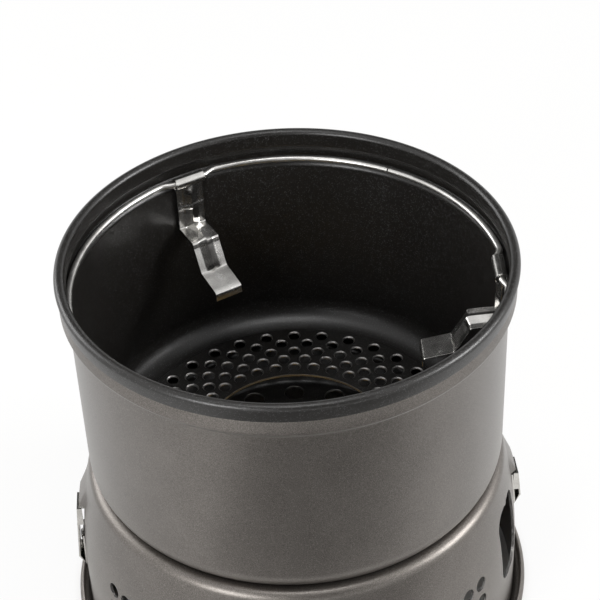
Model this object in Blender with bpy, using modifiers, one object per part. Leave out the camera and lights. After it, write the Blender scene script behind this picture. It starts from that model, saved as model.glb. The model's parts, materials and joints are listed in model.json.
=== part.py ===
"""Storm cooker: two nested aluminium windshields, a wire ring with three swinging pot supports,
two strap clips and a brass spirit burner. Metres, +Z up, standing on z = 0, front towards -Y."""

import math

import bmesh
import bpy
from mathutils import Matrix, Vector

# Shared sizes
SHEET = 0.0010
GAP = 0.0003
SHELL_STEPS = 48
BURNER_STEPS = 24

# Upper windshield
OVERALL_HEIGHT = 0.1606
UPPER_R = 0.0783
UPPER_BASE_Z = 0.0691
UPPER_CORNER = 0.0110
BEAD_R = 0.0019
BEAD_PROUD = 0.0015
HEM_DEPTH = 0.0064
HEM_LEAN = 0.0006
BAND_PROUD = 0.0028
BAND_LEAN = 0.0008
BAND_TOP_DEPTH = 0.0073
BAND_BASE_DEPTH = 0.0123
BAND_STEP = 0.0031
FLOOR_RISE = 0.0037
FLOOR_STEP_INSET = 0.0011
FLOOR_STEP_RUN = 0.0026
BURNER_WAY = 0.0009

# Rings of vents in the upper floor
VENT_R = 0.0022
VENT_RINGS = 5
VENTS_PER_RING = 33
VENT_HOLE_MARGIN = 0.0048
VENT_STEP_MARGIN = 0.00418
VENT_PHASE = math.radians(1.8)

# Lower windshield
BELLY_PROUD = 0.0069
BELLY_Z = 0.0206
NEST_ANGLE = math.radians(42)
CREST_R = 0.0016
WALL_LEAN = math.radians(24)
CURL_R = 0.0019
CURL_STEPS = 8
CURL_TURN = math.radians(240)
DISH_DEPTH = 0.0111
DISH_RUN = 0.0105
PLATE_WIDTH = 0.0078
AIR_HOLE_R = 0.0040
AIR_HOLES = 16
AIR_RING_SHIFT = 0.0009

# Openings in the lower wall
WALL_VENT_R = 0.0030
WALL_VENT_COLUMNS = 21
WALL_VENT_ROWS = 2
WALL_VENT_TOP_Z = 0.0424
WALL_VENT_ROW_PITCH = 0.0085
WALL_VENT_FIRST = math.radians(-146.2)
WALL_VENT_LAST = math.radians(-38.0)
SIDE_HOLE_WIDTH = 0.0222
SIDE_HOLE_HEIGHT = 0.0327
SIDE_HOLE_Z = 0.0414
SIDE_HOLE_ANGLE = math.radians(-18.2)
SIDE_HOLE_CORNER = 0.0065
NIB_R = 0.0009

# Louvres and strap clips, one pair at each side
CLIP_ANGLES = {"left": math.radians(183), "right": math.radians(3)}
CLIP_FOLDS_Z = {"left": 0.0222, "right": 0.0365}
LOUVRE_TOP_Z = 0.0610
LOUVRE_BASE_Z = 0.0520
LOUVRE_WIDTH = 0.0130
LOUVRE_STANDOFF = 0.0019
CLIP_SHEET = 0.0006
CLIP_WIDTH = 0.0094
CLIP_TOP_Z = 0.0482
CLIP_BASE_DROP = 0.0050
CLIP_LEAF_HEIGHT = 0.0160
CLIP_STANDOFF = 0.0032
CLIP_WING_HEIGHT = 0.0086
RIVET_SHANK_R = 0.0012
RIVET_HEAD_R = 0.0022
RIVET_HEAD = 0.0005
RIVET_RISES = (0.0078, 0.0130)

# Wire ring and pot supports
WIRE_R = 0.0012
RING_PROUD = 0.0005
RING_NECK = 0.0023
RING_JOINT_ANGLE = math.radians(58.7)
RING_JOINT_GAP = 0.0005
RING_ARC_STEP = math.radians(6)
SUPPORT_ANGLES = {
    "pot_support_1": math.radians(119.1),
    "pot_support_2": math.radians(0.8),
    "pot_support_3": math.radians(-119.1),
}
SUPPORT_SHEET = 0.0008
SUPPORT_WIDTH = 0.0114
SUPPORT_WAY = 0.0008
SLEEVE_WIDTH = 0.0122
SLEEVE_SHEET = 0.0008
SUPPORT_DROP = 0.0217
LEDGE_REACH = 0.0108
LEDGE_DROP = 0.0008
RAMP_REACH = 0.0050
RAMP_DROP = 0.0090
KETTLE_LEDGE_REACH = 0.0115
KETTLE_LEDGE_DROP = 0.0024
LIP_DROP = 0.0032
BEND_R = 0.0014
RIB_HEIGHT = 0.0012
RIB_HALF_WIDTH = 0.0029

# Spirit burner
BURNER_SHEET = 0.0007
BURNER_R = 0.0304
BURNER_FLANGE_R = 0.0342
BURNER_FLANGE = 0.0020
BURNER_DEPTH = 0.0420
BURNER_CORNER = 0.0060
COLLAR_R = 0.0249
COLLAR_HEIGHT = 0.0031
JETS = 24
JET_R = 0.0008
JET_INSET = 0.0043
WICK_DEPTH = 0.0380
CAP_HEIGHT = 0.0052
CAP_SHEET = 0.0008
CAP_EDGE = 0.0010
SEAL_R = 0.0009

# Heights, radii and turns that follow from the sizes above
FACET = 2 * math.pi / SHELL_STEPS
SHELL_TURN = CLIP_ANGLES["right"] - FACET / 2
BEAD_CENTRE_R = UPPER_R + BEAD_PROUD
BAND_R = UPPER_R + BAND_PROUD
LOWER_R = UPPER_R + BELLY_PROUD
NEST_R = UPPER_R - UPPER_CORNER
FLOOR_STEP_R = NEST_R - FLOOR_STEP_INSET
FLOOR_HOLE_R = BURNER_FLANGE_R + BURNER_WAY
VENT_FIRST_RING_R = FLOOR_HOLE_R + VENT_HOLE_MARGIN
VENT_LAST_RING_R = FLOOR_STEP_R - FLOOR_STEP_RUN - VENT_STEP_MARGIN
VENT_RING_PITCH = (VENT_LAST_RING_R - VENT_FIRST_RING_R) / (VENT_RINGS - 1)
DISH_RIM_R = NEST_R - PLATE_WIDTH
DISH_R = DISH_RIM_R - DISH_RUN
AIR_RING_R = (BURNER_FLANGE_R + DISH_R) / 2 + AIR_RING_SHIFT
JET_RING_R = COLLAR_R + JET_INSET
NEST_Z = UPPER_BASE_Z + UPPER_CORNER
PLATE_Z = UPPER_BASE_Z - GAP
FLOOR_Z = UPPER_BASE_Z + FLOOR_RISE
SEAT_Z = PLATE_Z - DISH_DEPTH
NEST_REACH = UPPER_CORNER + GAP + CREST_R
CREST_X = NEST_R + NEST_REACH * math.cos(NEST_ANGLE)
CREST_Z = NEST_Z - NEST_REACH * math.sin(NEST_ANGLE)
WALL_TOP_R = CREST_X + CREST_R * math.cos(WALL_LEAN)
WALL_TOP_Z = CREST_Z + CREST_R * math.sin(WALL_LEAN)
CURL_STEP = CURL_TURN / CURL_STEPS
CURL_Z = CURL_R * math.cos(CURL_STEP / 2) + SHEET
LINER_R = (UPPER_R - SHEET) * math.cos(FACET / 2)
SEAT_SLOPE = math.atan2(BAND_STEP, BAND_R - UPPER_R)
SEAT_BASE_Z = OVERALL_HEIGHT - BAND_BASE_DEPTH - BAND_STEP
RING_R = UPPER_R + RING_PROUD - WIRE_R
RING_OVERHANG = RING_R / math.cos(FACET / 2) - UPPER_R
RING_LIFT = (SHEET + GAP + WIRE_R) / math.cos(SEAT_SLOPE)
RING_Z = SEAT_BASE_Z + RING_OVERHANG * math.tan(SEAT_SLOPE) + RING_LIFT
SLEEVE_BORE_R = WIRE_R + GAP
SLEEVE_R = SLEEVE_BORE_R + SLEEVE_SHEET
PIVOT_R = RING_R - RING_NECK
STRIP_OFFSET = LINER_R - SUPPORT_WAY - SUPPORT_SHEET / 2 - PIVOT_R
FLANGE_BASE_Z = SEAT_Z + GAP
FLANGE_TOP_Z = FLANGE_BASE_Z + BURNER_FLANGE
COLLAR_TOP_Z = FLANGE_TOP_Z + COLLAR_HEIGHT
SEAL_Z = COLLAR_TOP_Z + GAP + SEAL_R
CAP_TOP_Z = SEAL_Z + SEAL_R + GAP + CAP_SHEET


def clear_scene():
    for thing in list(bpy.data.objects):
        bpy.data.objects.remove(thing, do_unlink=True)


def new_collection(name):
    group = bpy.data.collections.new(name)
    bpy.context.scene.collection.children.link(group)
    return group


def new_material(name, colour, metallic, roughness):
    material = bpy.data.materials.new(name)
    material.use_nodes = True
    shader = material.node_tree.nodes["Principled BSDF"]
    shader.inputs["Base Color"].default_value = (*colour, 1)
    shader.inputs["Metallic"].default_value = metallic
    shader.inputs["Roughness"].default_value = roughness
    material.diffuse_color = (*colour, 1)
    return material


def arc(centre_r, centre_z, radius, start, end, steps):
    turn = (end - start) / steps
    angles = [start + turn * step for step in range(steps + 1)]
    return [(centre_r + radius * math.cos(a), centre_z + radius * math.sin(a)) for a in angles]


def rounded(corners, steps=2):
    """Turns (x, y, fillet radius) corners into points, with an arc at each rounded corner."""
    points = []
    for index, (x, y, fillet) in enumerate(corners):
        corner = Vector((x, y))
        if fillet == 0 or index in (0, len(corners) - 1):
            points.append((x, y))
            continue
        before = (Vector(corners[index - 1][:2]) - corner).normalized()
        after = (Vector(corners[index + 1][:2]) - corner).normalized()
        half = before.angle(after) / 2
        centre = corner + (before + after).normalized() * fillet / math.sin(half)
        first = corner + before * fillet / math.tan(half) - centre
        turn = first.angle_signed(corner + after * fillet / math.tan(half) - centre)
        for step in range(steps + 1):
            spoke = first.copy()
            spoke.rotate(Matrix.Rotation(-turn * step / steps, 2))
            points.append(tuple(centre + spoke))
    return points


def frame_at(angle, radius, height):
    """Local X points outwards, local Y along the tangent, local Z up."""
    turn = Matrix.Rotation(angle, 4, "Z")
    return turn @ Matrix.Translation((radius, 0, height))


def link(name, mesh, group, material=None, matrix=None, parent=None):
    thing = bpy.data.objects.new(name, mesh)
    group.objects.link(thing)
    if material:
        mesh.materials.append(material)
    if parent:
        thing.parent = parent
    if matrix:
        thing.matrix_world = matrix
    return thing


def as_cutter(thing):
    thing.hide_render = True
    thing.display_type = "WIRE"
    return thing


def add_boolean(thing, other, operation):
    cut = thing.modifiers.new(other.name, "BOOLEAN")
    cut.operation = operation
    cut.solver = "EXACT"
    cut.object = other
    as_cutter(other)


def profile_mesh(name, points):
    build = bmesh.new()
    verts = [build.verts.new((x, 0, z)) for x, z in points]
    for first, second in zip(verts, verts[1:]):
        build.edges.new((first, second))
    mesh = bpy.data.meshes.new(name)
    build.to_mesh(mesh)
    build.free()
    return mesh


def turned(name, points, steps, group, material, matrix=None):
    """Turns a profile round Z; one that starts and ends on Z, or closes, makes a solid."""
    thing = link(name, profile_mesh(name, points), group, material, matrix)
    screw = thing.modifiers.new("turn", "SCREW")
    screw.axis = "Z"
    screw.steps = steps
    screw.render_steps = steps
    screw.use_merge_vertices = True
    screw.merge_threshold = 0.00001
    screw.use_smooth_shade = True
    return thing


def turned_shell(name, points, thickness, steps, group, material, matrix=None):
    """Turns an outer profile, listed from the top down, with its thickness towards the inside."""
    shell = turned(name, points, steps, group, material, matrix)
    sheet = shell.modifiers.new("sheet", "SOLIDIFY")
    sheet.thickness = thickness
    sheet.offset = -1
    sheet.use_even_offset = True
    return shell


def turned_ring(name, section, steps, group, material):
    """Turns a closed section, listed down its outer side first, into a solid ring."""
    ring = turned(name, [*section, section[0]], steps, group, material)
    weld = ring.modifiers.new("seam", "WELD")
    weld.merge_threshold = 0.00001
    return ring


def cylinders(name, radius, depth, places, sides, group):
    """One cutter made of equal cylinders, each along the Z axis of its place."""
    build = bmesh.new()
    for place in places:
        bmesh.ops.create_cone(
            build,
            cap_ends=True,
            segments=sides,
            radius1=radius,
            radius2=radius,
            depth=depth,
            matrix=place,
        )
    mesh = bpy.data.meshes.new(name)
    build.to_mesh(mesh)
    build.free()
    return as_cutter(link(name, mesh, group))


def outline_mesh(name, points, width):
    """Fills a flat outline in local XZ and gives it a width along local Y."""
    curve = bpy.data.curves.new(name, "CURVE")
    curve.dimensions = "2D"
    curve.fill_mode = "BOTH"
    curve.extrude = width / 2
    spline = curve.splines.new("POLY")
    spline.points.add(len(points) - 1)
    for point, (x, z) in zip(spline.points, points):
        point.co = (x, z, 0, 1)
    spline.use_cyclic_u = True
    mesh = mesh_from_curve(name, curve)
    mesh.transform(Matrix.Rotation(math.pi / 2, 4, "X"))
    return mesh


def mesh_from_curve(name, curve):
    source = bpy.data.objects.new(name + "_curve", curve)
    bpy.context.scene.collection.objects.link(source)
    bpy.context.view_layer.update()
    evaluated = source.evaluated_get(bpy.context.evaluated_depsgraph_get())
    mesh = bpy.data.meshes.new_from_object(evaluated)
    bpy.data.objects.remove(source, do_unlink=True)
    build = bmesh.new()
    build.from_mesh(mesh)
    bmesh.ops.remove_doubles(build, verts=build.verts, dist=0.000001)
    bmesh.ops.recalc_face_normals(build, faces=build.faces)
    build.to_mesh(mesh)
    build.free()
    mesh.name = name
    return mesh


def wall_radius(height):
    """Outer radius of the lower wall, which bellies out from the shoulder to BELLY_Z."""
    rise = max(0, height - BELLY_Z) / (WALL_TOP_Z - BELLY_Z)
    return LOWER_R - (LOWER_R - WALL_TOP_R) * rise**2


def facet_radius(height):
    """Distance of the lower wall's flat facet behind a clip from the Z axis."""
    return wall_radius(height) * math.cos(FACET / 2)


def upper_profile():
    bead_z = OVERALL_HEIGHT - BEAD_R
    hollow = BEAD_R - SHEET
    leg_r = BEAD_CENTRE_R + hollow
    neck_r = BEAD_CENTRE_R - hollow
    hem = [(leg_r - HEM_LEAN, OVERALL_HEIGHT - HEM_DEPTH)]
    bead = arc(BEAD_CENTRE_R, bead_z, hollow, 0, math.pi, 4)
    band_top_z = OVERALL_HEIGHT - BAND_TOP_DEPTH
    band_base_z = OVERALL_HEIGHT - BAND_BASE_DEPTH
    wall = rounded(
        [
            (neck_r, bead_z, 0),
            (neck_r, band_top_z + GAP + SHEET / 2, 0.0006),
            (BAND_R - BAND_LEAN, band_top_z, 0.0010),
            (BAND_R, band_base_z, 0.0015),
            (UPPER_R, band_base_z - BAND_STEP, 0.0015),
            (UPPER_R, NEST_Z, 0),
        ],
        steps=1,
    )
    corner = arc(NEST_R, NEST_Z, UPPER_CORNER, 0, -math.pi / 2, 4)
    floor = rounded(
        [
            (NEST_R, UPPER_BASE_Z, 0),
            (FLOOR_STEP_R, UPPER_BASE_Z, 0.0013),
            (FLOOR_STEP_R - FLOOR_STEP_RUN, FLOOR_Z, 0.0010),
            (FLOOR_HOLE_R, FLOOR_Z, 0),
        ],
        steps=1,
    )
    return hem + bead + wall[1:-1] + corner + floor[1:]


def lower_profile():
    dish = rounded(
        [
            (BURNER_R + 2 * GAP, SEAT_Z, 0),
            (DISH_R, SEAT_Z, 0.0025),
            (DISH_RIM_R, PLATE_Z, 0.0025),
            (NEST_R, PLATE_Z, 0),
        ],
        steps=1,
    )
    nest = arc(NEST_R, NEST_Z, UPPER_CORNER + GAP, -math.pi / 2, -NEST_ANGLE, 2)
    crest = arc(CREST_X, CREST_Z, CREST_R, math.pi - NEST_ANGLE, WALL_LEAN, 3)
    heights = [WALL_TOP_Z + (BELLY_Z - WALL_TOP_Z) * step / 4 for step in range(1, 5)]
    wall = [(wall_radius(z), z) for z in heights]
    curl_start = math.pi + CURL_STEP / 2
    curl = arc(LOWER_R + CURL_R, CURL_Z, CURL_R, curl_start, curl_start + CURL_TURN, CURL_STEPS)
    return dish[:-1] + nest + crest[1:] + wall + [(LOWER_R, CURL_Z)] + curl


def upper_vents(cutters):
    pitch = 2 * math.pi / VENTS_PER_RING
    middle_z = FLOOR_Z + SHEET / 2
    places = [
        frame_at(
            VENT_PHASE + pitch * (column + ring % 2 / 2),
            VENT_FIRST_RING_R + VENT_RING_PITCH * ring,
            middle_z,
        )
        for ring in range(VENT_RINGS)
        for column in range(VENTS_PER_RING)
    ]
    return cylinders("floor_vents", VENT_R, 4 * SHEET, places, 6, cutters)


def wall_vents(cutters):
    pitch = (WALL_VENT_LAST - WALL_VENT_FIRST) / (WALL_VENT_COLUMNS - 1)
    along_x = Matrix.Rotation(math.pi / 2, 4, "Y")
    places = [
        frame_at(
            WALL_VENT_FIRST + pitch * column,
            LOWER_R - SHEET / 2,
            WALL_VENT_TOP_Z - WALL_VENT_ROW_PITCH * row,
        )
        @ along_x
        for row in range(WALL_VENT_ROWS)
        for column in range(WALL_VENT_COLUMNS)
    ]
    return cylinders("wall_vents", WALL_VENT_R, 6 * SHEET, places, 8, cutters)


def dish_holes(cutters):
    pitch = 2 * math.pi / AIR_HOLES
    places = [frame_at(pitch * hole, AIR_RING_R, SEAT_Z - SHEET / 2) for hole in range(AIR_HOLES)]
    return cylinders("air_holes", AIR_HOLE_R, 4 * SHEET, places, 8, cutters)


def side_hole(cutters):
    """An upright hole with round corners and two small nibs where the knock-out tab was held."""
    half = SIDE_HOLE_WIDTH / 2
    rise = SIDE_HOLE_HEIGHT / 2
    inset_y = half - SIDE_HOLE_CORNER
    inset_z = rise - SIDE_HOLE_CORNER
    centres = ((inset_y, inset_z), (-inset_y, inset_z), (-inset_y, -inset_z), (inset_y, -inset_z))
    outline = []
    for quarter, (y, z) in enumerate(centres):
        start = quarter * math.pi / 2
        outline += arc(y, z, SIDE_HOLE_CORNER, start, start + math.pi / 2, 4)
    to_wall = frame_at(SIDE_HOLE_ANGLE, LOWER_R, SIDE_HOLE_Z) @ Matrix.Rotation(math.pi / 2, 4, "Z")
    mesh = outline_mesh("side_hole", outline, 14 * SHEET)
    hole = link("side_hole", mesh, cutters, None, to_wall)
    along_x = Matrix.Rotation(math.pi / 2, 4, "Y")
    nib_spots = ((0, rise), (half, -inset_z))
    places = [
        frame_at(SIDE_HOLE_ANGLE, LOWER_R, SIDE_HOLE_Z) @ Matrix.Translation((0, y, z)) @ along_x
        for y, z in nib_spots
    ]
    add_boolean(hole, cylinders("nibs", NIB_R, 16 * SHEET, places, 6, cutters), "DIFFERENCE")
    return as_cutter(hole)


def add_louvre(windshield, side, angle, cutters):
    """A lanced louvre: a sloping hood over a slot in the wall, open downwards."""
    top_r = facet_radius(LOUVRE_TOP_Z)
    base_r = facet_radius(LOUVRE_BASE_Z)
    lip_r = base_r + LOUVRE_STANDOFF
    buried = SHEET / 2
    hood = [
        (top_r - buried, LOUVRE_TOP_Z),
        (top_r, LOUVRE_TOP_Z),
        (lip_r, LOUVRE_BASE_Z),
        (base_r - buried, LOUVRE_BASE_Z),
    ]
    pocket = [
        (top_r - 3 * SHEET, LOUVRE_TOP_Z - 2 * SHEET),
        (top_r - SHEET, LOUVRE_TOP_Z - 2 * SHEET),
        (lip_r - SHEET, LOUVRE_BASE_Z),
        (lip_r - SHEET, LOUVRE_BASE_Z - SHEET / 2),
        (base_r - 3 * SHEET, LOUVRE_BASE_Z - SHEET / 2),
    ]
    turn = Matrix.Rotation(angle, 4, "Z")
    outer = link(
        "louvre_" + side, outline_mesh("louvre_" + side, hood, LOUVRE_WIDTH), cutters, None, turn
    )
    inner = link(
        "slot_" + side,
        outline_mesh("slot_" + side, pocket, LOUVRE_WIDTH - 2 * SHEET),
        cutters,
        None,
        turn,
    )
    add_boolean(windshield, outer, "UNION")
    add_boolean(windshield, inner, "DIFFERENCE")


def rivet_places(side):
    along_x = Matrix.Rotation(math.pi / 2, 4, "Y")
    base_z = CLIP_FOLDS_Z[side] - CLIP_BASE_DROP
    heights = [base_z + rise for rise in RIVET_RISES]
    return [frame_at(CLIP_ANGLES[side], facet_radius(z), z) @ along_x for z in heights]


def make_lower(parts, cutters, material):
    turn = Matrix.Rotation(SHELL_TURN, 4, "Z")
    lower = turned_shell(
        "lower_windshield", lower_profile(), SHEET, SHELL_STEPS, parts, material, turn
    )
    for cutter in (wall_vents(cutters), dish_holes(cutters), side_hole(cutters)):
        add_boolean(lower, cutter, "DIFFERENCE")
    for side, angle in CLIP_ANGLES.items():
        add_louvre(lower, side, angle, cutters)
        holes = cylinders(
            "rivet_holes_" + side,
            RIVET_SHANK_R + GAP,
            8 * SHEET,
            rivet_places(side),
            8,
            cutters,
        )
        add_boolean(lower, holes, "DIFFERENCE")


def make_upper(parts, cutters, material):
    turn = Matrix.Rotation(SHELL_TURN, 4, "Z")
    upper = turned_shell(
        "upper_windshield", upper_profile(), SHEET, SHELL_STEPS, parts, material, turn
    )
    add_boolean(upper, upper_vents(cutters), "DIFFERENCE")
    return upper


def clip_section(side):
    """The bent strip seen along the tangent: leaf on the wall, fold, then the outer plate."""
    fold_z = CLIP_FOLDS_Z[side]
    base_z = fold_z - CLIP_BASE_DROP
    leaf_z = base_z + CLIP_LEAF_HEIGHT
    heel_z = base_z + 2 * CLIP_SHEET
    leaf_r = facet_radius(leaf_z) + GAP
    base_r = facet_radius(base_z) + GAP
    top_r = facet_radius(CLIP_TOP_Z) + CLIP_STANDOFF
    fold_r = facet_radius(fold_z) + CLIP_STANDOFF
    outer = [(base_r, base_z), (fold_r, fold_z), (top_r, CLIP_TOP_Z)]
    inner = [
        (top_r - CLIP_SHEET, CLIP_TOP_Z),
        (fold_r - CLIP_SHEET, fold_z + CLIP_SHEET / 2),
        (base_r + CLIP_SHEET, heel_z),
        (leaf_r + CLIP_SHEET, leaf_z),
        (leaf_r, leaf_z),
        (base_r, heel_z),
    ]
    return outer + inner


def make_clip(side, angle, parts, cutters, material):
    name = "strap_clip_" + side
    turn = Matrix.Rotation(angle, 4, "Z")
    clip = link(name, outline_mesh(name, clip_section(side), CLIP_WIDTH), parts, material, turn)
    wing_base_z = CLIP_TOP_Z - CLIP_WING_HEIGHT
    inner_r = facet_radius(wing_base_z) + GAP
    buried = CLIP_SHEET / 2
    top_r = facet_radius(CLIP_TOP_Z) + CLIP_STANDOFF - buried
    low_r = facet_radius(wing_base_z) + CLIP_STANDOFF - buried
    wing = [(inner_r, wing_base_z), (low_r, wing_base_z), (top_r, CLIP_TOP_Z), (inner_r, CLIP_TOP_Z)]
    for edge in (-1, 1):
        wing_name = f"wing_{side}_{edge}"
        across = Matrix.Translation((0, edge * (CLIP_WIDTH - CLIP_SHEET) / 2, 0))
        mesh = outline_mesh(wing_name, wing, CLIP_SHEET)
        add_boolean(clip, link(wing_name, mesh, cutters, None, turn @ across), "UNION")
    holes = cylinders(
        "leaf_holes_" + side,
        RIVET_SHANK_R + GAP,
        2 * (2 * GAP + CLIP_SHEET),
        rivet_places(side),
        8,
        cutters,
    )
    add_boolean(clip, holes, "DIFFERENCE")


def rivet_section():
    """Half section along the rivet's axis, from the head outside to the set end inside."""
    head_base = 2 * GAP + CLIP_SHEET
    tail_base = -SHEET - GAP
    return [
        (0, head_base + RIVET_HEAD),
        (RIVET_HEAD_R * 0.75, head_base + RIVET_HEAD),
        (RIVET_HEAD_R, head_base),
        (RIVET_SHANK_R, head_base),
        (RIVET_SHANK_R, tail_base),
        (RIVET_HEAD_R, tail_base),
        (RIVET_HEAD_R * 0.75, tail_base - RIVET_HEAD),
        (0, tail_base - RIVET_HEAD),
    ]


def make_rivets(side, parts, material):
    for level, place in zip(("lower", "upper"), rivet_places(side)):
        turned(f"clip_rivet_{side}_{level}", rivet_section(), 10, parts, material, place)


def ring_radius(angle):
    """The wire runs at RING_R, and straight and further in through each sleeve."""
    neck_half = SLEEVE_WIDTH / 2 + GAP
    for centre in SUPPORT_ANGLES.values():
        offset = (angle - centre + math.pi) % (2 * math.pi) - math.pi
        if abs(offset) * PIVOT_R < neck_half + RING_NECK / 2:
            return PIVOT_R / math.cos(offset)
    return RING_R


def ring_angles():
    start = RING_JOINT_ANGLE + RING_JOINT_GAP / RING_R / 2
    end = RING_JOINT_ANGLE + 2 * math.pi - RING_JOINT_GAP / RING_R / 2
    steps = round((end - start) / RING_ARC_STEP)
    neck = (SLEEVE_WIDTH / 2 + GAP) / PIVOT_R
    shoulder = neck + 2 * RING_NECK / RING_R
    angles = [start + (end - start) * step / steps for step in range(steps + 1)]
    centres = [centre + 2 * math.pi * (centre < start) for centre in SUPPORT_ANGLES.values()]
    angles = [a for a in angles if all(abs(a - centre) > shoulder for centre in centres)]
    for centre in centres:
        angles += [centre - shoulder, centre - neck, centre + neck, centre + shoulder]
    return sorted(angles)


def make_ring(parts, material, parent):
    curve = bpy.data.curves.new("support_ring", "CURVE")
    curve.dimensions = "3D"
    curve.bevel_depth = WIRE_R
    curve.bevel_resolution = 2
    curve.use_fill_caps = True
    spline = curve.splines.new("POLY")
    angles = ring_angles()
    spline.points.add(len(angles) - 1)
    for point, angle in zip(spline.points, angles):
        radius = ring_radius(angle)
        point.co = (radius * math.cos(angle), radius * math.sin(angle), RING_Z, 1)
    curve.materials.append(material)
    ring = bpy.data.objects.new("support_ring", curve)
    parts.objects.link(ring)
    ring.parent = parent


def support_path():
    """The strip's middle line: x inwards from the pivot is negative, y down is negative."""
    start = SLEEVE_BORE_R + SLEEVE_SHEET / 4
    stops = [(STRIP_OFFSET, -start, 0), (STRIP_OFFSET, -SUPPORT_DROP, BEND_R)]
    for reach, drop in (
        (LEDGE_REACH, LEDGE_DROP),
        (0.0006, 0.0018),
        (RAMP_REACH, RAMP_DROP),
        (KETTLE_LEDGE_REACH, KETTLE_LEDGE_DROP),
    ):
        x, y, _ = stops[-1]
        stops.append((x - reach, y - drop, BEND_R if reach > BEND_R else 0))
    x, y, _ = stops[-1]
    stops.append((x, y - LIP_DROP, 0))
    return rounded(stops, steps=1)


def strip_mesh(name):
    """A five-point section with a middle rib, lofted along the path; the rib fades at both ends."""
    path = [Vector(point) for point in support_path()]
    half = SUPPORT_WIDTH / 2
    columns = (-half, -RIB_HALF_WIDTH, 0, RIB_HALF_WIDTH, half)
    build = bmesh.new()
    bmesh.ops.create_grid(build, x_segments=len(columns) - 1, y_segments=len(path) - 1, size=1)
    ribbed = range(1, len(path) - 4)
    for vert in build.verts:
        column = round((vert.co.x + 1) / 2 * (len(columns) - 1))
        row = round((vert.co.y + 1) / 2 * (len(path) - 1))
        before = path[max(row - 1, 0)]
        after = path[min(row + 1, len(path) - 1)]
        along = (after - before).normalized()
        rise = RIB_HEIGHT if column == 2 and row in ribbed else 0
        place = path[row] + Vector((along.y, -along.x)) * rise
        vert.co = (place.x, columns[column], place.y)
    bmesh.ops.recalc_face_normals(build, faces=build.faces)
    mesh = bpy.data.meshes.new(name)
    build.to_mesh(mesh)
    build.free()
    return mesh


def make_support(name, angle, parts, cutters, material, parent):
    """A strip with a rolled sleeve, its origin on the wire that it swings on."""
    pivot = frame_at(angle, PIVOT_R, RING_Z)
    support = link(name, strip_mesh(name), parts, material, pivot, parent)
    sheet = support.modifiers.new("sheet", "SOLIDIFY")
    sheet.thickness = SUPPORT_SHEET
    sheet.offset = 0
    sheet.use_even_offset = True
    along_y = pivot @ Matrix.Rotation(math.pi / 2, 4, "X")
    sleeve = cylinders("sleeve_" + name, SLEEVE_R, SLEEVE_WIDTH, [along_y], 12, cutters)
    bore = cylinders("bore_" + name, SLEEVE_BORE_R, 2 * SLEEVE_WIDTH, [along_y], 12, cutters)
    add_boolean(support, sleeve, "UNION")
    add_boolean(support, bore, "DIFFERENCE")


def burner_profile():
    ring_z = FLANGE_TOP_Z
    base_z = FLANGE_TOP_Z - BURNER_DEPTH
    return [
        (COLLAR_R, COLLAR_TOP_Z),
        (COLLAR_R, ring_z),
        (BURNER_FLANGE_R, ring_z),
        (BURNER_FLANGE_R, FLANGE_BASE_Z),
        (BURNER_R, FLANGE_BASE_Z),
        (BURNER_R, base_z + BURNER_CORNER),
        *arc(
            BURNER_R - BURNER_CORNER, base_z + BURNER_CORNER, BURNER_CORNER, 0, -math.pi / 2, 3
        )[1:],
        (0, base_z),
    ]


def make_burner(parts, cutters, brass, felt, rubber):
    body = turned_shell(
        "burner_body", burner_profile(), BURNER_SHEET, BURNER_STEPS, parts, brass
    )
    pitch = 2 * math.pi / JETS
    places = [frame_at(pitch * jet, JET_RING_R, FLANGE_TOP_Z) for jet in range(JETS)]
    jets = cylinders("jets", JET_R, BURNER_FLANGE, places, 6, cutters)
    add_boolean(body, jets, "DIFFERENCE")

    floor_z = FLANGE_TOP_Z - BURNER_DEPTH + BURNER_SHEET + GAP
    liner_r = COLLAR_R - BURNER_SHEET - GAP
    liner = [
        (liner_r, COLLAR_TOP_Z),
        (liner_r, floor_z),
        (liner_r - BURNER_SHEET, floor_z),
        (liner_r - BURNER_SHEET, COLLAR_TOP_Z),
    ]
    turned_ring("burner_inner_wall", liner, BURNER_STEPS, parts, brass)

    wick_outer = BURNER_R - BURNER_SHEET - GAP
    wick_inner = liner_r + GAP
    wick_base = FLANGE_TOP_Z - BURNER_DEPTH + BURNER_CORNER
    wick_top = FLANGE_TOP_Z - BURNER_DEPTH + WICK_DEPTH
    wick = [
        (wick_outer, wick_top),
        (wick_outer, wick_base),
        (wick_inner, wick_base),
        (wick_inner, wick_top),
    ]
    turned_ring("burner_wick", wick, BURNER_STEPS, parts, felt)

    skirt_r = COLLAR_R + GAP + CAP_SHEET
    cap = [
        (0, CAP_TOP_Z),
        (skirt_r - CAP_EDGE, CAP_TOP_Z),
        (skirt_r, CAP_TOP_Z - CAP_EDGE),
        (skirt_r, CAP_TOP_Z - CAP_HEIGHT),
    ]
    lid = turned_shell("burner_cap", cap, CAP_SHEET, BURNER_STEPS, parts, brass)
    seal_r = COLLAR_R - SEAL_R
    section = arc(seal_r, SEAL_Z, SEAL_R, math.pi / 2, -math.pi * 3 / 2, 6)[:-1]
    seal = turned_ring("cap_seal", section, BURNER_STEPS, parts, rubber)
    seal.parent = lid


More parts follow.
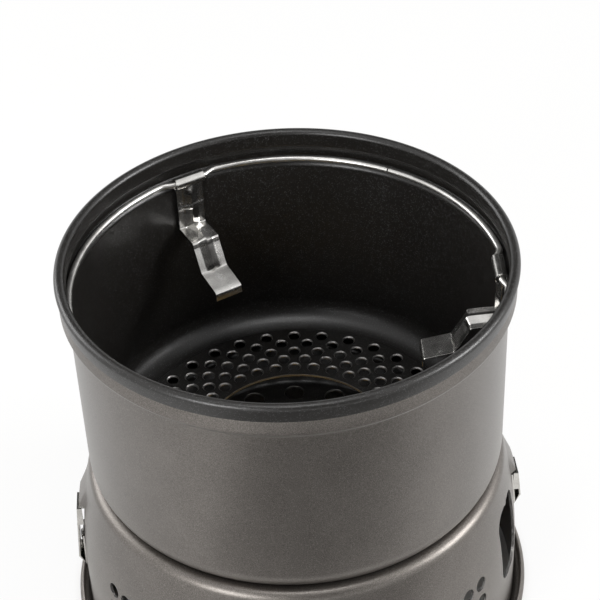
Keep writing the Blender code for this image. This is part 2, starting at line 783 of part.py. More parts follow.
def main():
    clear_scene()
    parts = new_collection("storm_cooker")
    cutters = new_collection("cutters")
    anodised = new_material("hard_anodised", (0.16, 0.15, 0.14), 0.6, 0.42)
    steel = new_material("bright_steel", (0.70, 0.69, 0.67), 1.0, 0.22)
    brass = new_material("brass", (0.72, 0.52, 0.22), 1.0, 0.3)
    felt = new_material("felt", (0.75, 0.72, 0.65), 0.0, 0.95)
    rubber = new_material("rubber", (0.03, 0.03, 0.03), 0.0, 0.7)

    make_lower(parts, cutters, anodised)
    upper = make_upper(parts, cutters, anodised)
    make_ring(parts, steel, upper)
    for name, angle in SUPPORT_ANGLES.items():
        make_support(name, angle, parts, cutters, steel, upper)
    for side, angle in CLIP_ANGLES.items():
        make_clip(side, angle, parts, cutters, steel)
        make_rivets(side, parts, steel)
    make_burner(parts, cutters, brass, felt, rubber)


main()
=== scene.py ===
import json
import math

import bmesh
import bpy
import numpy as np
from mathutils import Matrix, Vector


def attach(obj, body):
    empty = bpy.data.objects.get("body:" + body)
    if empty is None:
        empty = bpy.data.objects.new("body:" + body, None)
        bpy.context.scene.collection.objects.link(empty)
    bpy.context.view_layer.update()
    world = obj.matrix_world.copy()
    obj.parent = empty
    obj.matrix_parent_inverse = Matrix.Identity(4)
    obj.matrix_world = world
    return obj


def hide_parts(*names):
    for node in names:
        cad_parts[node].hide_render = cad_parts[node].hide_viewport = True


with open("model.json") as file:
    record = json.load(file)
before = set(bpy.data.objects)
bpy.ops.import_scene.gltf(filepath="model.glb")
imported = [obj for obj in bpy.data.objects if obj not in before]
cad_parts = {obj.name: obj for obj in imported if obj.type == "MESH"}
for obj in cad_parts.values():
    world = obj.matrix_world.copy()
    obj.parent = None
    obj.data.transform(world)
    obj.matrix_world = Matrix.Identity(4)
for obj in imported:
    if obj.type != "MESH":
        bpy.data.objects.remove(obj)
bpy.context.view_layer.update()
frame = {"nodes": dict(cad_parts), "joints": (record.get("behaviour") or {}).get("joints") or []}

mm = 0.001
print("frame loaded:", len(frame["nodes"]), "nodes")


smoothAngle = 28  # degrees between two faces of turned sheet, above which their edge shows as sharp


# Node trees

def addNode(tree, kind, inputs=None, **settings):
    made = tree.nodes.new(kind)
    for name, value in settings.items():
        setattr(made, name, value)
    for key, value in (inputs or {}).items():
        if isinstance(value, bpy.types.NodeSocket):
            tree.links.new(value, made.inputs[key])
        else:
            made.inputs[key].default_value = value
    return made


def calc(tree, operation, a, b=0.0):
    return addNode(tree, "ShaderNodeMath", {0: a, 1: b}, operation=operation).outputs[0]


def newTree(name, kind, inputs, outputs):
    tree = bpy.data.node_groups.new(name, kind)
    for label, socketType, value in inputs:
        socket = tree.interface.new_socket(label, in_out="INPUT", socket_type=socketType)
        if value is not None:
            socket.default_value = value
    for label, socketType in outputs:
        tree.interface.new_socket(label, in_out="OUTPUT", socket_type=socketType)
    return tree, tree.nodes.new("NodeGroupInput").outputs, tree.nodes.new("NodeGroupOutput").inputs


def runTree(piece, tree, values):
    # Runs a Geometry Nodes tree on a piece and keeps its result as a plain mesh
    modifier = piece.modifiers.new(tree.name, "NODES")
    modifier.node_group = tree
    for socket in tree.interface.items_tree:
        if socket.in_out == "INPUT" and socket.name in values:
            modifier[socket.identifier] = values[socket.name]
    return makePlain(piece)


def makePlain(piece):
    # Swaps a piece's mesh for the one that its modifiers give
    bpy.context.view_layer.update()
    evaluated = piece.evaluated_get(bpy.context.evaluated_depsgraph_get())
    mesh = bpy.data.meshes.new_from_object(evaluated)
    piece.modifiers.clear()
    old = piece.data
    piece.data = mesh
    if old.users == 0:
        bpy.data.meshes.remove(old)
    return piece


# Outlines in the (radius, height) plane, in millimetres

def arc(centre, radius, start, end, stepAngle=9):
    count = max(2, math.ceil(abs(end - start) / stepAngle))
    angles = [math.radians(start + (end - start) * i / count) for i in range(count + 1)]
    return [(centre[0] + radius * math.cos(a), centre[1] + radius * math.sin(a)) for a in angles]


def roundCorners(corners, stepAngle=9):
    points = []
    for index, (x, y, fillet) in enumerate(corners):
        corner = Vector((x, y))
        if fillet == 0 or index in (0, len(corners) - 1):
            points.append((x, y))
            continue
        before = (Vector(corners[index - 1][:2]) - corner).normalized()
        after = (Vector(corners[index + 1][:2]) - corner).normalized()
        half = before.angle(after) / 2
        centre = corner + (before + after).normalized() * fillet / math.sin(half)
        spoke = corner + before * fillet / math.tan(half) - centre
        turn = math.degrees(math.pi - 2 * half)
        side = 1 if before.angle_signed(after) > 0 else -1
        start = math.degrees(math.atan2(spoke.y, spoke.x))
        points += arc(centre, fillet, start, start + side * turn, stepAngle)
    return points


def offsetPath(path, distance):
    # Moves a path to its right-hand side, as seen along its own direction
    points = [Vector(p) for p in path]
    moved = []
    for i, point in enumerate(points):
        sides = []
        for a, b in ((i - 1, i), (i, i + 1)):
            if a >= 0 and b < len(points):
                along = (points[b] - points[a]).normalized()
                sides.append(Vector((along.y, -along.x)))
        middle = sum(sides, Vector((0, 0))).normalized()
        moved.append(tuple(point + middle * distance / middle.dot(sides[0])))
    return moved


def sheetSection(path, thickness, cutBulge=0.12):
    # A closed section of sheet metal, with its two cut edges slightly rounded
    other = offsetPath(path, thickness)
    section = [(p, "outside") for p in path]
    for end, back, reverse in ((path[-1], path[-2], False), (path[0], path[1], True)):
        beyond = (Vector(end) - Vector(back)).normalized() * cutBulge * thickness
        near, far = Vector(end), Vector(other[-1] if not reverse else other[0])
        if reverse:
            near, far = far, near
        section[-1] = (section[-1][0], "edge")
        section += [(tuple(near.lerp(far, share) + beyond), "edge") for share in (0.2, 0.8)]
        if not reverse:
            section += [(p, "inside") for p in reversed(other)]
    return section


def cleanMesh(build, mesh, weld=0.000001):
    # Joins points that lie together, turns every face outwards and writes the mesh
    bmesh.ops.remove_doubles(build, verts=build.verts, dist=weld)
    bmesh.ops.recalc_face_normals(build, faces=build.faces)
    build.to_mesh(mesh)
    build.free()


def addPiece(name, mesh):
    piece = bpy.data.objects.new(name, mesh)
    bpy.context.scene.collection.objects.link(piece)
    return piece


def turnSection(name, section, finishes, steps=192):
    # Turns a closed section round the Z axis into a watertight solid
    rim = np.array([p for p, side in section]) * mm
    angles = np.arange(steps) * 2 * math.pi / steps
    circle = np.stack([np.cos(angles), np.sin(angles)], 1)
    count = len(rim)
    points = np.zeros((steps, count, 3))
    points[:, :, :2] = circle[:, None, :] * rim[None, :, 0:1]
    points[:, :, 2] = rim[None, :, 1]
    here = np.arange(steps)[:, None] * count
    there = (np.arange(steps)[:, None] + 1) % steps * count
    first = np.arange(count)[None, :]
    second = (first + 1) % count
    faces = np.stack([here + first, there + first, there + second, here + second], 2).reshape(-1, 4)
    mesh = bpy.data.meshes.new(name)
    mesh.from_pydata(points.reshape(-1, 3).tolist(), [], faces.tolist())
    sides = list(finishes)
    slots = [sides.index(side) for p, side in section]
    mesh.polygons.foreach_set("material_index", np.tile(slots, steps).astype(np.int32))
    for side in sides:
        mesh.materials.append(finishes[side])
    build = bmesh.new()
    build.from_mesh(mesh)
    cleanMesh(build, mesh)
    mesh.shade_smooth()
    mesh.set_sharp_from_angle(angle=math.radians(smoothAngle))
    return addPiece(name, mesh)


def keepTurnedShading(piece, section, reach=0.06):
    # After holes are cut, gives the turned faces the normals of the uncut section, so they shade as one
    # smooth sheet; hole walls and pressed shapes keep their own
    rim = np.array([p for p, side in section])
    following = np.roll(rim, -1, 0)
    along = following - rim
    length = np.linalg.norm(along, axis=1)
    sense = 1 if np.sum(rim[:, 0] * following[:, 1] - following[:, 0] * rim[:, 1]) > 0 else -1
    flat = np.stack([along[:, 1], -along[:, 0]], 1) / length[:, None] * sense
    smooth = flat + np.roll(flat, 1, 0)
    smooth /= np.linalg.norm(smooth, axis=1)[:, None]
    soft = np.sum(flat * np.roll(flat, 1, 0), 1) > math.cos(math.radians(smoothAngle))
    startNormal = np.where(soft[:, None], smooth, flat)
    endNormal = np.where(np.roll(soft, -1)[:, None], np.roll(smooth, -1, 0), flat)

    mesh = piece.data
    loops = len(mesh.loops)
    vertexOf = np.empty(loops, np.int32)
    mesh.loops.foreach_get("vertex_index", vertexOf)
    places = np.empty(len(mesh.vertices) * 3)
    mesh.vertices.foreach_get("co", places)
    places = places.reshape(-1, 3)[vertexOf] / mm
    normals = np.array([tuple(n.vector) for n in mesh.corner_normals])
    faceNormals = np.empty(len(mesh.polygons) * 3)
    mesh.polygons.foreach_get("normal", faceNormals)
    totals = np.empty(len(mesh.polygons), np.int32)
    mesh.polygons.foreach_get("loop_total", totals)
    faceNormals = np.repeat(faceNormals.reshape(-1, 3), totals, 0)

    radius = np.hypot(places[:, 0], places[:, 1])
    spoke = places[:, :2] / np.maximum(radius, 1e-9)[:, None]
    flatSpot = np.stack([radius, places[:, 2]], 1)
    faceFlat = np.stack([np.sum(faceNormals[:, :2] * spoke, 1), faceNormals[:, 2]], 1)
    batch = 20000
    for start in range(0, loops, batch):
        part = slice(start, min(start + batch, loops))
        spot = flatSpot[part][:, None, :] - rim[None]
        share = np.clip(np.sum(spot * along[None], 2) / (length**2)[None], 0, 1)
        gap = np.linalg.norm(spot - share[:, :, None] * along[None], axis=2)
        facing = faceFlat[part] @ flat.T
        cost = gap + np.where(facing > 0.9, 0, 100)  # stretches that face another way are out of the running
        best = np.argmin(cost, 1)
        rows = np.arange(len(best))
        t = share[rows, best][:, None]
        normal = startNormal[best] * (1 - t) + endNormal[best] * t
        normal /= np.linalg.norm(normal, axis=1)[:, None]
        good = cost[rows, best] < reach
        turned = np.concatenate([spoke[part] * normal[:, :1], normal[:, 1:]], 1)
        normals[part] = np.where(good[:, None], turned, normals[part])
    mesh.normals_split_custom_set(normals.tolist())


def finishPiece(piece, body, slotName, *nodes):
    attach(piece, body)
    if nodes:
        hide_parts(*nodes)
    print("made", piece.name, len(piece.data.polygons), "faces")
    return piece


# Finishes

def noise(tree, spot, scale, detail):
    made = addNode(tree, "ShaderNodeTexNoise", {"Vector": spot, "Scale": scale, "Detail": detail})
    return made.outputs["Fac"]


def buildGrain():
    # Fine grain of an anodised or coated surface, with scattered flecks, which get their own colour and a
    # small bump; lighter flecks are painted glints
    tree, given, result = newTree(
        "metalGrain",
        "ShaderNodeTree",
        [
            ("Grain Size", "NodeSocketFloat", 0.4),
            ("Fleck Share", "NodeSocketFloat", 0.1),
            ("Blotches", "NodeSocketFloat", 0.2),
        ],
        [("Tone", "NodeSocketFloat"), ("Flecks", "NodeSocketFloat"), ("Height", "NodeSocketFloat")],
    )
    spot = addNode(tree, "ShaderNodeTexCoord").outputs["Object"]
    fineScale = calc(tree, "DIVIDE", 1000.0, given["Grain Size"])
    fine = noise(tree, spot, fineScale, 2.0)
    broad = noise(tree, spot, 45.0, 4.0)
    cellScale = calc(tree, "MULTIPLY", fineScale, 1.4)
    cells = addNode(tree, "ShaderNodeTexVoronoi", {"Vector": spot, "Scale": cellScale})
    pick = addNode(tree, "ShaderNodeSeparateColor", {"Color": cells.outputs["Color"]}).outputs["Red"]
    limit = calc(tree, "SUBTRACT", 1.0, given["Fleck Share"])
    flecks = calc(tree, "GREATER_THAN", pick, limit)
    blotch = calc(tree, "MULTIPLY", calc(tree, "SUBTRACT", broad, 0.5), given["Blotches"])
    tree.links.new(calc(tree, "ADD", fine, blotch), result["Tone"])
    tree.links.new(flecks, result["Flecks"])
    tree.links.new(calc(tree, "ADD", fine, calc(tree, "MULTIPLY", flecks, 0.4)), result["Height"])
    return tree


marksShare, linesShare = 0.16, 0.08  # how much polish marks and rolling lines each change the roughness


def buildRollingLines():
    # Fine rolling lines along one axis of bent or drawn steel, with broader polish marks
    tree, given, result = newTree(
        "rollingLines",
        "ShaderNodeTree",
        [("Stretch", "NodeSocketVector", (1.0, 1.0, 0.1)), ("Line Size", "NodeSocketFloat", 0.15)],
        [("Tone", "NodeSocketFloat"), ("Roughness", "NodeSocketFloat"), ("Height", "NodeSocketFloat")],
    )
    spot = addNode(tree, "ShaderNodeTexCoord").outputs["Object"]
    stretched = addNode(
        tree,
        "ShaderNodeVectorMath",
        {0: spot, 1: given["Stretch"]},
        operation="MULTIPLY",
    ).outputs[0]
    lines = noise(tree, stretched, calc(tree, "DIVIDE", 1000.0, given["Line Size"]), 3.0)
    marks = noise(tree, spot, 220.0, 3.0)
    tree.links.new(calc(tree, "MULTIPLY", calc(tree, "ADD", lines, marks), 0.5), result["Tone"])
    markRough = calc(tree, "MULTIPLY", marks, marksShare)
    rough = calc(tree, "ADD", markRough, calc(tree, "MULTIPLY", lines, linesShare))
    tree.links.new(rough, result["Roughness"])
    tree.links.new(calc(tree, "ADD", calc(tree, "MULTIPLY", lines, 0.3), marks), result["Height"])
    return tree


def newFinish(name, base, metallic, extra={}):
    material = bpy.data.materials.new(name)
    material.use_nodes = True
    tree = material.node_tree
    shader = tree.nodes["Principled BSDF"]
    shader.inputs["Metallic"].default_value = metallic
    for key, value in extra.items():
        shader.inputs[key].default_value = value
    material.diffuse_color = (*base, 1)
    return material, tree, shader


def mixTone(tree, factor, dark, light, low=0.35, high=0.65):
    ramp = tree.nodes.new("ShaderNodeMapRange")
    ramp.inputs["From Min"].default_value = low
    ramp.inputs["From Max"].default_value = high
    tree.links.new(factor, ramp.inputs["Value"])
    mix = tree.nodes.new("ShaderNodeMix")
    mix.data_type = "RGBA"
    tree.links.new(ramp.outputs["Result"], mix.inputs["Factor"])
    mix.inputs["A"].default_value = (*dark, 1)
    mix.inputs["B"].default_value = (*light, 1)
    return mix.outputs["Result"]


def addGroup(tree, shared, values):
    group = tree.nodes.new("ShaderNodeGroup")
    group.node_tree = shared
    for label, value in values.items():
        group.inputs[label].default_value = value
    return group


def addBump(tree, shader, height, strength, distance):
    values = {"Height": height, "Strength": strength, "Distance": distance}
    bump = addNode(tree, "ShaderNodeBump", values)
    tree.links.new(bump.outputs["Normal"], shader.inputs["Normal"])


def grainFinish(name, grain, look):
    material, tree, shader = newFinish(name, look["dark"], look["metallic"], look.get("extra", {}))
    shares = {"Fleck Share": look["fleckShare"], "Blotches": look["blotches"]}
    group = addGroup(tree, grain, {"Grain Size": look["grainSize"], **shares})
    ground = mixTone(tree, group.outputs["Tone"], look["dark"], look["light"])
    # Fleck colour: where it is lighter than the grain it is a painted glint; felt's darker flecks are dark
    # fibres
    flecked = tree.nodes.new("ShaderNodeMix")
    flecked.data_type = "RGBA"
    tree.links.new(group.outputs["Flecks"], flecked.inputs["Factor"])
    tree.links.new(ground, flecked.inputs["A"])
    flecked.inputs["B"].default_value = (*look["fleck"], 1)
    tree.links.new(flecked.outputs["Result"], shader.inputs["Base Color"])
    rough = calc(tree, "MULTIPLY", group.outputs["Tone"], look["roughVary"])
    rough = calc(tree, "ADD", rough, look["rough"] - look["roughVary"] / 2)
    tree.links.new(rough, shader.inputs["Roughness"])
    addBump(tree, shader, group.outputs["Height"], look["bump"], 0.1 * mm)
    return material


def steelFinish(name, lines, look):
    material, tree, shader = newFinish(name, look["light"], 1.0)
    group = addGroup(tree, lines, {"Stretch": look["stretch"], "Line Size": look["lineSize"]})
    tone = mixTone(tree, group.outputs["Tone"], look["dark"], look["light"])
    tree.links.new(tone, shader.inputs["Base Color"])
    rough = calc(tree, "ADD", group.outputs["Roughness"], look["rough"] - (marksShare + linesShare) / 2)
    tree.links.new(rough, shader.inputs["Roughness"])
    addBump(tree, shader, group.outputs["Height"], look["bump"], 0.05 * mm)
    return material


grain = buildGrain()
rollingLines = buildRollingLines()

outsideLook = {
    "dark": (0.092, 0.082, 0.073),
    "light": (0.176, 0.160, 0.146),
    # fleck: painted glints on the anodising
    "fleck": (0.20, 0.185, 0.17),
    "metallic": 0.85,
    "rough": 0.37,
    "roughVary": 0.10,
    "grainSize": 0.30,
    "fleckShare": 0.05,
    "blotches": 0.25,
    "bump": 0.5,
    "extra": {"Coat Weight": 0.35, "Coat Roughness": 0.32},
}
insideLook = {
    "dark": (0.008, 0.007, 0.006),
    "light": (0.013, 0.012, 0.011),
    # fleck: painted glints on the black coat
    "fleck": (0.05, 0.05, 0.05),
    "metallic": 0.0,
    "rough": 0.31,
    "roughVary": 0.10,
    "grainSize": 0.35,
    "fleckShare": 0.06,
    "blotches": 0.3,
    "bump": 0.6,
}
cutEdgeLook = {
    "dark": (0.30, 0.29, 0.28),
    "light": (0.42, 0.41, 0.40),
    # fleck: painted glints on the bare metal
    "fleck": (0.6, 0.59, 0.58),
    "metallic": 1.0,
    "rough": 0.35,
    "roughVary": 0.2,
    "grainSize": 0.2,
    "fleckShare": 0.1,
    "blotches": 0.3,
    "bump": 0.4,
}
feltLook = {
    "dark": (0.50, 0.46, 0.38),
    "light": (0.72, 0.68, 0.58),
    "fleck": (0.35, 0.32, 0.27),
    "metallic": 0.0,
    "rough": 0.95,
    "roughVary": 0.05,
    "grainSize": 0.6,
    "fleckShare": 0.06,
    "blotches": 0.8,
    "bump": 1.0,
}
rubberLook = {
    "dark": (0.012, 0.012, 0.012),
    "light": (0.022, 0.022, 0.022),
    "fleck": (0.04, 0.04, 0.04),
    "metallic": 0.0,
    "rough": 0.6,
    "roughVary": 0.1,
    "grainSize": 0.25,
    "fleckShare": 0.03,
    "blotches": 0.4,
    "bump": 0.4,
}
steelLook = {
    "dark": (0.46, 0.45, 0.43),
    "light": (0.66, 0.65, 0.63),
    "rough": 0.24,
    "stretch": (1.0, 1.0, 0.15),
    "lineSize": 0.15,
    "bump": 0.14,
}
wireLook = {**steelLook, "stretch": (0.2, 0.2, 1.0), "rough": 0.38, "bump": 0.1}
brassLook = {
    "dark": (0.42, 0.27, 0.085),
    "light": (0.66, 0.46, 0.18),
    "rough": 0.30,
    "stretch": (0.15, 0.15, 1.0),
    "lineSize": 0.2,
    "bump": 0.3,
}
outsideFinish = grainFinish("greyAnodised", grain, outsideLook)
insideFinish = grainFinish("blackCoat", grain, insideLook)
edgeFinish = grainFinish("bareEdge", grain, cutEdgeLook)
feltFinish = grainFinish("felt", grain, feltLook)
rubberFinish = grainFinish("rubber", grain, rubberLook)
steelFinishBent = steelFinish("bentSteel", rollingLines, steelLook)
steelFinishWire = steelFinish("drawnSteel", rollingLines, wireLook)
brassFinish = steelFinish("tarnishedBrass", rollingLines, brassLook)
sheetSides = {"outside": outsideFinish, "inside": insideFinish, "edge": edgeFinish}
print("finishes ready")


# Hole patterns

def buildHoleRings():
    # Rings of round holes drilled down through a level sheet, each ring staggered, with broken top edges
    tree, given, result = newTree(
        "holeRings",
        "GeometryNodeTree",
        [
            ("Geometry", "NodeSocketGeometry", None),
            ("Rings", "NodeSocketInt", 5),
            ("Per Ring", "NodeSocketInt", 33),
            ("First Radius", "NodeSocketFloat", 0.04),
            ("Ring Pitch", "NodeSocketFloat", 0.005),
            ("Start Angle", "NodeSocketFloat", 0.0),
            ("Hole Radius", "NodeSocketFloat", 0.002),
            ("Top", "NodeSocketFloat", 0.0),
            ("Depth", "NodeSocketFloat", 0.004),
            ("Chamfer", "NodeSocketFloat", 0.0002),
            ("Sides", "NodeSocketInt", 20),
            ("Cut Finish", "NodeSocketMaterial", None),
        ],
        [("Geometry", "NodeSocketGeometry")],
    )
    count = calc(tree, "MULTIPLY", given["Rings"], given["Per Ring"])
    index = addNode(tree, "GeometryNodeInputIndex").outputs[0]
    ring = calc(tree, "FLOOR", calc(tree, "DIVIDE", index, given["Per Ring"]))
    column = calc(tree, "SUBTRACT", index, calc(tree, "MULTIPLY", ring, given["Per Ring"]))
    stagger = calc(tree, "MULTIPLY", calc(tree, "MODULO", ring, 2.0), 0.5)
    pitch = calc(tree, "DIVIDE", 2 * math.pi, given["Per Ring"])
    turned = calc(tree, "MULTIPLY", pitch, calc(tree, "ADD", column, stagger))
    angle = calc(tree, "ADD", given["Start Angle"], turned)
    radius = calc(tree, "ADD", given["First Radius"], calc(tree, "MULTIPLY", given["Ring Pitch"], ring))
    place = addNode(
        tree,
        "ShaderNodeCombineXYZ",
        {
            "X": calc(tree, "MULTIPLY", radius, calc(tree, "COSINE", angle)),
            "Y": calc(tree, "MULTIPLY", radius, calc(tree, "SINE", angle)),
            "Z": given["Top"],
        },
    ).outputs[0]
    spots = addNode(tree, "GeometryNodePoints", {"Count": count, "Position": place}).outputs[0]
    drill = addNode(
        tree,
        "GeometryNodeMeshCylinder",
        {"Vertices": given["Sides"], "Radius": given["Hole Radius"], "Depth": given["Depth"]},
    ).outputs["Mesh"]
    flareReach = calc(tree, "MULTIPLY", given["Chamfer"], 2.0)
    flare = addNode(
        tree,
        "GeometryNodeMeshCone",
        {
            "Vertices": given["Sides"],
            "Radius Top": calc(tree, "ADD", given["Hole Radius"], flareReach),
            "Radius Bottom": calc(tree, "SUBTRACT", given["Hole Radius"], given["Chamfer"]),
            "Depth": calc(tree, "MULTIPLY", given["Chamfer"], 3.0),
        },
    ).outputs["Mesh"]
    lowered = addNode(
        tree,
        "ShaderNodeCombineXYZ",
        {"Z": calc(tree, "MULTIPLY", given["Chamfer"], -2.0)},
    ).outputs[0]
    flare = addNode(tree, "GeometryNodeTransform", {"Geometry": flare, "Translation": lowered}).outputs[0]
    tool = addNode(tree, "GeometryNodeMeshBoolean", operation="UNION", solver="EXACT")
    tree.links.new(drill, tool.inputs["Mesh 2"])
    tree.links.new(flare, tool.inputs["Mesh 2"])
    cutBySets(tree, given, result, tool.outputs["Mesh"], spots, (0.0, 0.0, 0.0))
    return tree


def cutBySets(tree, given, result, tool, spots, rotation):
    # Sets a tool on every spot, cuts it out of the sheet and finishes the walls of the holes
    placed = addNode(
        tree,
        "GeometryNodeInstanceOnPoints",
        {"Points": spots, "Instance": tool, "Rotation": rotation},
    ).outputs[0]
    tools = addNode(tree, "GeometryNodeRealizeInstances", {"Geometry": placed}).outputs[0]
    marked = addNode(
        tree,
        "GeometryNodeStoreNamedAttribute",
        {"Geometry": tools, "Name": "cutWall", "Value": 1.0},
        data_type="FLOAT",
        domain="FACE",
    ).outputs[0]
    cut = addNode(tree, "GeometryNodeMeshBoolean", operation="DIFFERENCE", solver="EXACT")
    tree.links.new(given["Geometry"], cut.inputs["Mesh 1"])
    tree.links.new(marked, cut.inputs["Mesh 2"])
    real = addNode(tree, "GeometryNodeRealizeInstances", {"Geometry": cut.outputs["Mesh"]}).outputs[0]
    mark = addNode(tree, "GeometryNodeInputNamedAttribute", {"Name": "cutWall"}, data_type="FLOAT")
    isWall = addNode(
        tree,
        "FunctionNodeCompare",
        {0: mark.outputs[0], 1: 0.5},
        data_type="FLOAT",
        operation="GREATER_THAN",
    ).outputs[0]
    done = addNode(
        tree,
        "GeometryNodeSetMaterial",
        {"Geometry": real, "Selection": isWall, "Material": given["Cut Finish"]},
    ).outputs[0]
    tree.links.new(done, result["Geometry"])


def buildHoleGrid():
    # Rows of round holes drilled outwards through an upright wall
    tree, given, result = newTree(
        "holeGrid",
        "GeometryNodeTree",
        [
            ("Geometry", "NodeSocketGeometry", None),
            ("Columns", "NodeSocketInt", 21),
            ("Rows", "NodeSocketInt", 2),
            ("First Angle", "NodeSocketFloat", 0.0),
            ("Last Angle", "NodeSocketFloat", 1.0),
            ("Top Row", "NodeSocketFloat", 0.04),
            ("Row Pitch", "NodeSocketFloat", 0.008),
            ("Wall Radius", "NodeSocketFloat", 0.085),
            ("Hole Radius", "NodeSocketFloat", 0.003),
            ("Sides", "NodeSocketInt", 24),
            ("Cut Finish", "NodeSocketMaterial", None),
        ],
        [("Geometry", "NodeSocketGeometry")],
    )
    count = calc(tree, "MULTIPLY", given["Columns"], given["Rows"])
    index = addNode(tree, "GeometryNodeInputIndex").outputs[0]
    row = calc(tree, "FLOOR", calc(tree, "DIVIDE", index, given["Columns"]))
    column = calc(tree, "SUBTRACT", index, calc(tree, "MULTIPLY", row, given["Columns"]))
    span = calc(tree, "SUBTRACT", given["Last Angle"], given["First Angle"])
    pitch = calc(tree, "DIVIDE", span, calc(tree, "SUBTRACT", given["Columns"], 1.0))
    angle = calc(tree, "ADD", given["First Angle"], calc(tree, "MULTIPLY", pitch, column))
    place = addNode(
        tree,
        "ShaderNodeCombineXYZ",
        {
            "X": calc(tree, "MULTIPLY", given["Wall Radius"], calc(tree, "COSINE", angle)),
            "Y": calc(tree, "MULTIPLY", given["Wall Radius"], calc(tree, "SINE", angle)),
            "Z": calc(tree, "SUBTRACT", given["Top Row"], calc(tree, "MULTIPLY", given["Row Pitch"], row)),
        },
    ).outputs[0]
    spots = addNode(tree, "GeometryNodePoints", {"Count": count, "Position": place}).outputs[0]
    drill = addNode(
        tree,
        "GeometryNodeMeshCylinder",
        {"Vertices": given["Sides"], "Radius": given["Hole Radius"], "Depth": 6 * mm},
    ).outputs["Mesh"]
    position = addNode(tree, "GeometryNodeInputPosition").outputs[0]
    at = addNode(tree, "ShaderNodeSeparateXYZ", {0: position}).outputs
    heading = calc(tree, "ARCTAN2", at["Y"], at["X"])
    turn = addNode(tree, "ShaderNodeCombineXYZ", {"Y": math.pi / 2, "Z": heading})
    cutBySets(tree, given, result, drill, spots, turn.outputs[0])
    return tree


holeRings = buildHoleRings()
holeGrid = buildHoleGrid()


# Upper windshield

upperShell = {
    "sheet": 1.0,
    "top": 160.6,
    "wallRadius": 78.3,
    "base": 69.1,
    "corner": 11.0,
    "beadRadius": 1.9,
    "beadCentre": 79.8,
    "hemDepth": 6.4,
    "hemLean": 0.6,
    "bandRadius": 81.1,
    "bandLean": 1.0,
    "bandTopDepth": 7.3,
    "bandBaseDepth": 12.3,
    "bandStep": 3.1,
    "floorRise": 3.7,
    "floorStepRadius": 66.2,
    "floorStepRun": 2.6,
    "floorHole": 35.1,
}
upperVents = {
    "Rings": 5,
    "Per Ring": 33,
    "First Radius": 39.9 * mm,
    "Ring Pitch": 4.88 * mm,
    "Start Angle": math.radians(1.8),
    "Hole Radius": 2.2 * mm,
    "Chamfer": 0.42 * mm,
    "Sides": 20,
}


def makeUpperShell(s):
    beadHeight = s["top"] - s["beadRadius"]
    hollow = s["beadRadius"] - s["sheet"]
    hem = [(s["beadCentre"] + hollow - s["hemLean"], s["top"] - s["hemDepth"])]
    bead = arc((s["beadCentre"], beadHeight), hollow, 0, 180, 9)
    bandTop = s["top"] - s["bandTopDepth"]
    bandBase = s["top"] - s["bandBaseDepth"]
    nest = s["base"] + s["corner"]
    wall = roundCorners(
        [
            (s["beadCentre"] - hollow, beadHeight, 0),
            (s["beadCentre"] - hollow, bandTop + 0.8, 0.6),
            (s["bandRadius"] - s["bandLean"], bandTop, 0.9),
            (s["bandRadius"], bandBase, 1.5),
            (s["wallRadius"], bandBase - s["bandStep"], 1.5),
            (s["wallRadius"], nest, 0),
        ]
    )
    corner = arc((s["wallRadius"] - s["corner"], nest), s["corner"], 0, -90, 5)
    floorTop = s["base"] + s["floorRise"]
    floorPath = roundCorners(
        [
            (s["wallRadius"] - s["corner"], s["base"], 0),
            (s["floorStepRadius"], s["base"], 1.3),
            (s["floorStepRadius"] - s["floorStepRun"], floorTop, 1.0),
            (s["floorHole"] + 0.12, floorTop, 0),
        ]
    )
    path = hem + bead + wall[1:-1] + corner + floorPath[1:]
    section = sheetSection(path, s["sheet"])
    shell = turnSection("upperShell", section, sheetSides)
    cutTop = (floorTop + s["sheet"]) * mm
    runTree(shell, holeRings, {**upperVents, "Top": cutTop, "Depth": 5 * mm, "Cut Finish": edgeFinish})
    keepTurnedShading(shell, section)
    return finishPiece(shell, "upper_windshield", "windshields", "upper_windshield")


makeUpperShell(upperShell)


# Lower windshield

lowerShell = {
    "sheet": 1.0,
    "wallRadius": 85.2,
    "bellyHeight": 20.6,
    "plate": 68.8,
    "nestRadius": 67.3,
    "nestHeight": 80.1,
    "nestReach": 11.3,
    "nestAngle": 60.0,
    "crestRadius": 4.5,
    "wallLean": 14,
    "curlRadius": 1.9,
    "curlTurn": 240,
    "seat": 57.7,
    "seatHole": 31.0,
    "dishRadius": 49.0,
    "dishRim": 59.5,
    # blackTo: inside this radius both faces are black, which on the tops of the dish and nest is painted
    # shade
    "blackTo": 73.2,
}
dishHoles = {
    "Rings": 1,
    "Per Ring": 16,
    "First Radius": 42.5 * mm,
    "Start Angle": 0.0,
    "Hole Radius": 4.0 * mm,
    "Chamfer": 0.15 * mm,
    "Sides": 32,
}
wallVents = {
    "Columns": 21,
    "Rows": 2,
    "First Angle": math.radians(-146.2),
    "Last Angle": math.radians(-38.0),
    "Top Row": 42.4 * mm,
    "Row Pitch": 8.5 * mm,
    "Wall Radius": 84.7 * mm,
    "Hole Radius": 3.0 * mm,
    "Sides": 28,
}
sideHole = {
    "angle": -18.2,
    "height": 41.4,
    "width": 22.2,
    "tall": 32.7,
    "corner": 6.5,
    "nib": 0.9,
    "nibReach": 1.5,
    "cut": (74, 95),
}
louvre = {
    "angles": (3, 183),
    "top": 61.0,
    "base": 52.0,
    "width": 13.0,
    "standoff": 2.2,
    "slope": 1.4,
    "slot": 0.9,
}


def crestOf(s):
    # Centre of the rounded crest, and the point below it where the wall starts, as (radius, height)
    reach = s["nestReach"] + s["crestRadius"]
    angle = math.radians(s["nestAngle"])
    lean = math.radians(s["wallLean"])
    crest = (s["nestRadius"] + reach * math.cos(angle), s["nestHeight"] - reach * math.sin(angle))
    wallTop = (crest[0] + s["crestRadius"] * math.cos(lean), crest[1] + s["crestRadius"] * math.sin(lean))
    return crest, wallTop


def lowerWallRadius(s, height):
    wallTop = crestOf(s)[1]
    rise = max(0, height - s["bellyHeight"]) / (wallTop[1] - s["bellyHeight"])
    return s["wallRadius"] - (s["wallRadius"] - wallTop[0]) * rise**2


